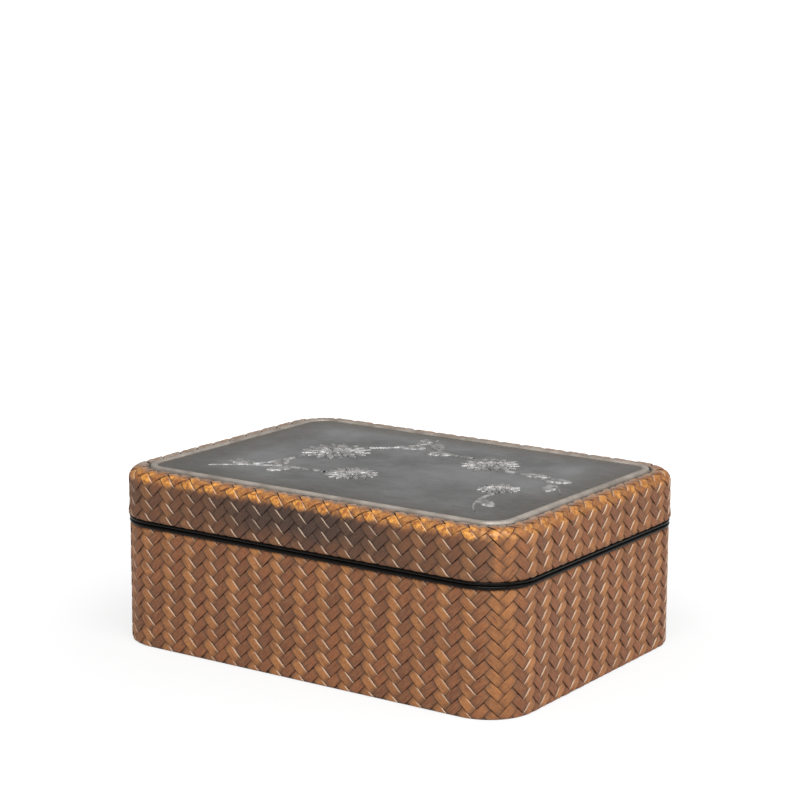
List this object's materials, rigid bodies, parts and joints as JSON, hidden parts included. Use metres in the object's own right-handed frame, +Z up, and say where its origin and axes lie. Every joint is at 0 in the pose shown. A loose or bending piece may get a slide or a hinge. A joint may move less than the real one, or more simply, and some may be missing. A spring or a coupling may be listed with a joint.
{
  "type": "writing box",
  "caption": "Rectangular lidded box with round corners, woven skin, metal panel in the lid and a lift-out tray of ink-writing tools.",
  "frame": {"origin": "centre of the underside of the foot rim, on the ground", "axes": "+Z up, +X along the long side, the long front wall faces -Y"},
  "size_m": [0.24, 0.177, 0.0929],
  "materials": {
    "core_wood": "plain sawn, unfinished inside",
    "woven_rattan": "split rattan strips in a twill weave, stained and worn glossy",
    "black_lacquer": "glossy black lacquer",
    "inner_lacquer": "dark brown-black lacquer",
    "frame_metal": "dull grey-beige metal bead",
    "panel_pewter": "dark pewter-grey patina",
    "relief_silver": "silver-white relief, worn bright on its heights",
    "slate": "honed dark slate",
    "dropper_brass": "patinated brass",
    "ink": "pressed soot ink, satin",
    "bamboo": "aged bamboo",
    "hair": "brush hair",
    "handle_wood": "turned dark wood",
    "steel": "hand-forged steel"
  },
  "bodies": {
    "box": {"base_rim": "black_lacquer", "box_floor": "core_wood", "box_walls": "core_wood", "box_weave": "woven_rattan", "box_rim": "black_lacquer", "inner_lip": "inner_lacquer", "tray_rest_left": "inner_lacquer", "tray_rest_right": "inner_lacquer"},
    "lid": {"lid_walls": "core_wood", "lid_board": "core_wood", "lid_weave": "woven_rattan", "lid_rim": "black_lacquer", "panel_frame": "frame_metal", "panel": "panel_pewter", "flower_1": "relief_silver", "flower_2": "relief_silver", "flower_3": "relief_silver", "flower_4": "relief_silver", "stems_and_leaves": "relief_silver"},
    "tray": {"tray_floor": "inner_lacquer", "tray_frame": "inner_lacquer", "tray_divider": "inner_lacquer", "tool_rest_left": "inner_lacquer", "tool_rest_right": "inner_lacquer"},
    "inkstone": {"inkstone": "slate"},
    "water_dropper": {"dropper_base": "dropper_brass", "dropper_shell": "dropper_brass", "dropper_spout": "dropper_brass"},
    "ink_stick": {"ink_stick": "ink"},
    "large_brush": {"brush_large_handle": "bamboo", "brush_large_tip": "hair"},
    "large_cap": {"brush_large_cap": "bamboo"},
    "small_brush": {"brush_small_handle": "bamboo", "brush_small_tip": "hair"},
    "small_cap": {"brush_small_cap": "bamboo"},
    "awl": {"awl_handle": "handle_wood", "awl_ferrule": "dropper_brass", "awl_blade": "steel"},
    "knife": {"knife_handle": "handle_wood", "knife_ferrule": "dropper_brass", "knife_blade": "steel"}
  },
  "joints": [
    {"name": "lid_lift", "type": "slide", "parent": "box", "child": "lid", "axis": [0, 0, 1], "range_m": [0, 0.15]},
    {"name": "tray_lift", "type": "slide", "parent": "box", "child": "tray", "axis": [0, 0, 1], "range_m": [0, 0.075]},
    {"name": "inkstone_lift", "type": "slide", "parent": "tray", "child": "inkstone", "axis": [0, 0, 1], "range_m": [0, 0.015]},
    {"name": "water_dropper_lift", "type": "slide", "parent": "tray", "child": "water_dropper", "axis": [0, 0, 1], "range_m": [0, 0.015]},
    {"name": "ink_stick_lift", "type": "slide", "parent": "tray", "child": "ink_stick", "axis": [0, 0, 1], "range_m": [0, 0.015]},
    {"name": "large_brush_lift", "type": "slide", "parent": "tray", "child": "large_brush", "axis": [0, 0, 1], "range_m": [0, 0.015]},
    {"name": "small_brush_lift", "type": "slide", "parent": "tray", "child": "small_brush", "axis": [0, 0, 1], "range_m": [0, 0.015]},
    {"name": "awl_lift", "type": "slide", "parent": "tray", "child": "awl", "axis": [0, 0, 1], "range_m": [0, 0.015]},
    {"name": "knife_lift", "type": "slide", "parent": "tray", "child": "knife", "axis": [0, 0, 1], "range_m": [0, 0.015]},
    {"name": "large_cap_pull", "type": "slide", "parent": "large_brush", "child": "large_cap", "axis": [1, 0, 0], "range_m": [0, 0.038]},
    {"name": "small_cap_pull", "type": "slide", "parent": "small_brush", "child": "small_cap", "axis": [1, 0, 0], "range_m": [0, 0.038]}
  ],
  "couplings": [
    {"joint": "tray_lift", "follows": "lid_lift", "ratio": 0.5}
  ]
}
